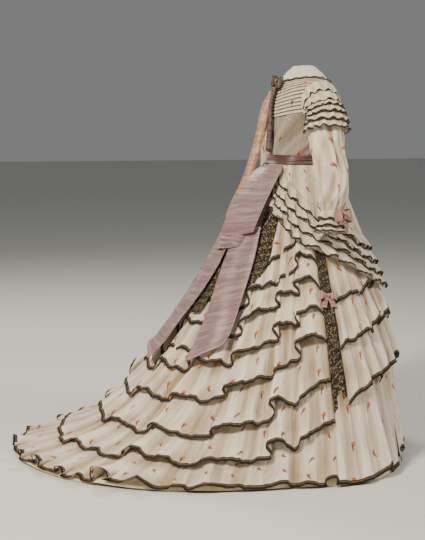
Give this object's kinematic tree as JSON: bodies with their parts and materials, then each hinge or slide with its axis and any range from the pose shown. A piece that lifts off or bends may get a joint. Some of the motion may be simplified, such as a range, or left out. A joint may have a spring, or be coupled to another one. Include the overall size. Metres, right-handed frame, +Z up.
{
  "type": "bustle dress",
  "caption": "Trained bustle dress of printed muslin in its hollow worn form, with lace-edged flounces, an apron overskirt, long sleeves and a silk sash with tails.",
  "frame": {"origin": "on the body's middle line at the height of the shoulders that hold the dress, 1.30 m above the floor that its hem and train rest on", "axes": "+Z up, -Y the way the wearer faces, +Y along the train, +X the wearer's left"},
  "size_m": [1.0981, 1.4369, 1.3874],
  "materials": {
    "apron": "printed cotton muslin",
    "apron_ruffle_1": "printed cotton muslin",
    "apron_ruffle_2": "printed cotton muslin",
    "apron_ruffle_3": "printed cotton muslin",
    "apron_ruffle_4": "printed cotton muslin",
    "back_flounce_1": "printed cotton muslin",
    "back_flounce_2": "printed cotton muslin",
    "back_flounce_3": "printed cotton muslin",
    "back_flounce_4": "printed cotton muslin",
    "back_flounce_5": "printed cotton muslin",
    "back_flounce_6": "printed cotton muslin",
    "back_flounce_7": "printed cotton muslin",
    "back_lower": "plain muslin over a beige lining",
    "back_ribbons": "dark silk ribbon",
    "back_tucked": "printed cotton muslin",
    "belt": "dark silk ribbon",
    "bodice_front_left": "printed cotton muslin",
    "bodice_front_right": "printed cotton muslin",
    "collar": "printed cotton muslin",
    "cuff_bow_left": "satin ribbon",
    "cuff_bow_right": "satin ribbon",
    "cuff_ruffle_left_1": "printed cotton muslin",
    "cuff_ruffle_left_2": "printed cotton muslin",
    "cuff_ruffle_left_3": "printed cotton muslin",
    "cuff_ruffle_right_1": "printed cotton muslin",
    "cuff_ruffle_right_2": "printed cotton muslin",
    "cuff_ruffle_right_3": "printed cotton muslin",
    "front_flounce_1": "printed cotton muslin",
    "front_flounce_2": "printed cotton muslin",
    "front_flounce_3": "printed cotton muslin",
    "hem_flounce": "printed cotton muslin",
    "nape_bow": "dark silk ribbon",
    "neck_lace": "black machine lace",
    "sash_knot": "crumpled ribbed silk",
    "sash_lace_middle": "black machine lace",
    "sash_lace_right": "black machine lace",
    "sash_loop": "crumpled ribbed silk",
    "sash_tail_left": "crumpled ribbed silk",
    "sash_tail_right": "crumpled ribbed silk",
    "shoulder_ruffle_left_1": "printed cotton muslin",
    "shoulder_ruffle_left_2": "printed cotton muslin",
    "shoulder_ruffle_left_3": "printed cotton muslin",
    "shoulder_ruffle_left_4": "printed cotton muslin",
    "shoulder_ruffle_left_5": "printed cotton muslin",
    "shoulder_ruffle_left_6": "printed cotton muslin",
    "shoulder_ruffle_right_1": "printed cotton muslin",
    "shoulder_ruffle_right_2": "printed cotton muslin",
    "shoulder_ruffle_right_3": "printed cotton muslin",
    "shoulder_ruffle_right_4": "printed cotton muslin",
    "shoulder_ruffle_right_5": "printed cotton muslin",
    "shoulder_ruffle_right_6": "printed cotton muslin",
    "side_bow_left": "satin ribbon",
    "side_bow_right": "satin ribbon",
    "side_lace_panel_left": "black machine lace",
    "side_lace_panel_right": "black machine lace",
    "sleeve_left": "printed cotton muslin",
    "sleeve_right": "printed cotton muslin",
    "streamer": "satin ribbon",
    "underskirt": "printed cotton muslin"
  },
  "bodies": {
    "root": {"apron": "apron", "apron_ruffle_1": "apron_ruffle_1", "apron_ruffle_2": "apron_ruffle_2", "apron_ruffle_3": "apron_ruffle_3", "apron_ruffle_4": "apron_ruffle_4", "back_flounce_1": "back_flounce_1", "back_flounce_2": "back_flounce_2", "back_flounce_3": "back_flounce_3", "back_flounce_4": "back_flounce_4", "back_flounce_5": "back_flounce_5", "back_flounce_6": "back_flounce_6", "back_flounce_7": "back_flounce_7", "back_lower": "back_lower", "back_ribbons": "back_ribbons", "back_tucked": "back_tucked", "belt": "belt", "bodice_front_left": "bodice_front_left", "bodice_front_right": "bodice_front_right", "collar": "collar", "cuff_bow_left": "cuff_bow_left", "cuff_bow_right": "cuff_bow_right", "cuff_ruffle_left_1": "cuff_ruffle_left_1", "cuff_ruffle_left_2": "cuff_ruffle_left_2", "cuff_ruffle_left_3": "cuff_ruffle_left_3", "cuff_ruffle_right_1": "cuff_ruffle_right_1", "cuff_ruffle_right_2": "cuff_ruffle_right_2", "cuff_ruffle_right_3": "cuff_ruffle_right_3", "front_flounce_1": "front_flounce_1", "front_flounce_2": "front_flounce_2", "front_flounce_3": "front_flounce_3", "hem_flounce": "hem_flounce", "nape_bow": "nape_bow", "neck_lace": "neck_lace", "sash_knot": "sash_knot", "sash_lace_middle": "sash_lace_middle", "sash_lace_right": "sash_lace_right", "sash_loop": "sash_loop", "sash_tail_left": "sash_tail_left", "sash_tail_right": "sash_tail_right", "shoulder_ruffle_left_1": "shoulder_ruffle_left_1", "shoulder_ruffle_left_2": "shoulder_ruffle_left_2", "shoulder_ruffle_left_3": "shoulder_ruffle_left_3", "shoulder_ruffle_left_4": "shoulder_ruffle_left_4", "shoulder_ruffle_left_5": "shoulder_ruffle_left_5", "shoulder_ruffle_left_6": "shoulder_ruffle_left_6", "shoulder_ruffle_right_1": "shoulder_ruffle_right_1", "shoulder_ruffle_right_2": "shoulder_ruffle_right_2", "shoulder_ruffle_right_3": "shoulder_ruffle_right_3", "shoulder_ruffle_right_4": "shoulder_ruffle_right_4", "shoulder_ruffle_right_5": "shoulder_ruffle_right_5", "shoulder_ruffle_right_6": "shoulder_ruffle_right_6", "side_bow_left": "side_bow_left", "side_bow_right": "side_bow_right", "side_lace_panel_left": "side_lace_panel_left", "side_lace_panel_right": "side_lace_panel_right", "sleeve_left": "sleeve_left", "sleeve_right": "sleeve_right", "streamer": "streamer", "underskirt": "underskirt"}
  },
  "joints": []
}
